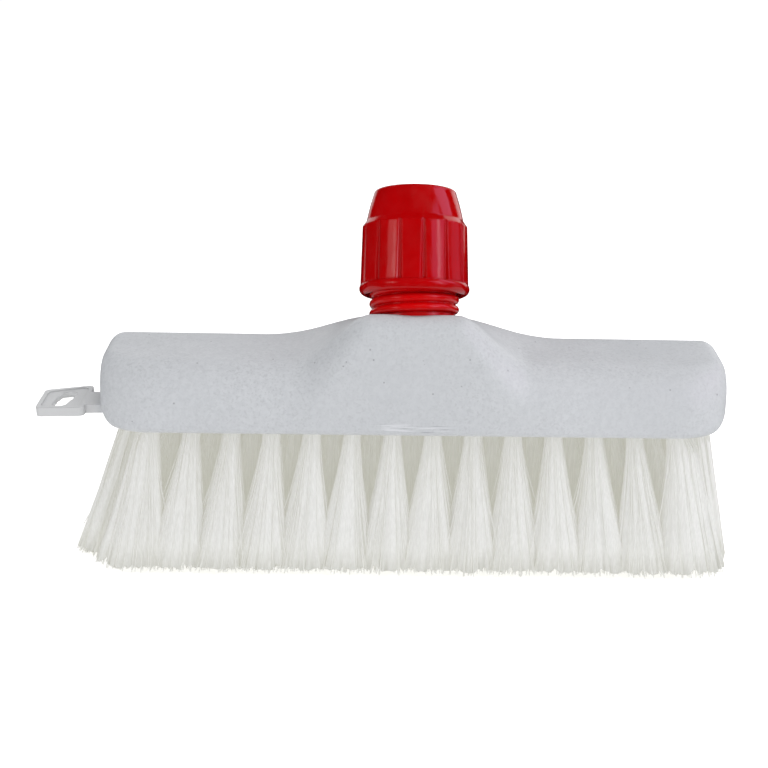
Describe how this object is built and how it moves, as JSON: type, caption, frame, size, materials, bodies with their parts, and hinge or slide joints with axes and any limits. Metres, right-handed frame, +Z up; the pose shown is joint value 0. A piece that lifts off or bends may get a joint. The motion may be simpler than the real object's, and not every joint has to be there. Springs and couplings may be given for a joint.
{
  "type": "scrub brush head",
  "caption": "Long scrub brush head with a raised centre, splayed stiff tufts, a hang tab and a leaning threaded socket whose screw-down collar clamps a round handle.",
  "frame": {"origin": "centre of the middle tuft's trimmed tip, so the bristles stand on z = 0", "axes": "+X along the block away from the hang tab, +Y to the back where the handle leans, +Z up from the bristle tips to the socket"},
  "size_m": [0.2829, 0.0654, 0.1546],
  "materials": {
    "block_grey": "pale grey moulded plastic, fine pebbled skin",
    "socket_red": "glossy red moulded plastic",
    "collar_red": "glossy red moulded plastic",
    "grip_white": "natural white plastic",
    "bristle_white": "translucent white filament",
    "staple_steel": "plain wire"
  },
  "bodies": {
    "head": {"brush_block": "block_grey", "handle_socket": "socket_red", "tuft_staples": "staple_steel", "tuft_front_01": "bristle_white", "tuft_front_02": "bristle_white", "tuft_front_03": "bristle_white", "tuft_front_04": "bristle_white", "tuft_front_05": "bristle_white", "tuft_front_06": "bristle_white", "tuft_front_07": "bristle_white", "tuft_front_08": "bristle_white", "tuft_front_09": "bristle_white", "tuft_front_10": "bristle_white", "tuft_front_11": "bristle_white", "tuft_front_12": "bristle_white", "tuft_front_13": "bristle_white", "tuft_front_14": "bristle_white", "tuft_middle_01": "bristle_white", "tuft_middle_02": "bristle_white", "tuft_middle_03": "bristle_white", "tuft_middle_04": "bristle_white", "tuft_middle_05": "bristle_white", "tuft_middle_06": "bristle_white", "tuft_middle_07": "bristle_white", "tuft_middle_08": "bristle_white", "tuft_middle_09": "bristle_white", "tuft_middle_10": "bristle_white", "tuft_middle_11": "bristle_white", "tuft_middle_12": "bristle_white", "tuft_middle_13": "bristle_white", "tuft_middle_14": "bristle_white", "tuft_middle_15": "bristle_white", "tuft_back_01": "bristle_white", "tuft_back_02": "bristle_white", "tuft_back_03": "bristle_white", "tuft_back_04": "bristle_white", "tuft_back_05": "bristle_white", "tuft_back_06": "bristle_white", "tuft_back_07": "bristle_white", "tuft_back_08": "bristle_white", "tuft_back_09": "bristle_white", "tuft_back_10": "bristle_white", "tuft_back_11": "bristle_white", "tuft_back_12": "bristle_white", "tuft_back_13": "bristle_white", "tuft_back_14": "bristle_white"},
    "grip": {"grip_ring": "grip_white"},
    "collar": {"clamp_collar": "collar_red"}
  },
  "joints": [
    {"name": "grip_slide", "type": "slide", "parent": "head", "child": "grip", "axis": [0, 0.4226, 0.9063], "range_m": [-0.003, 0.013]},
    {"name": "collar_turn", "type": "hinge", "parent": "grip", "child": "collar", "pos_m": [0, 0.00678, 0.11001], "axis": [0, 0.4226, 0.9063], "range_deg": [-270, 1170]}
  ],
  "couplings": [
    {"joint": "grip_slide", "follows": "collar_turn", "m_per_rad": 0.00063662}
  ]
}
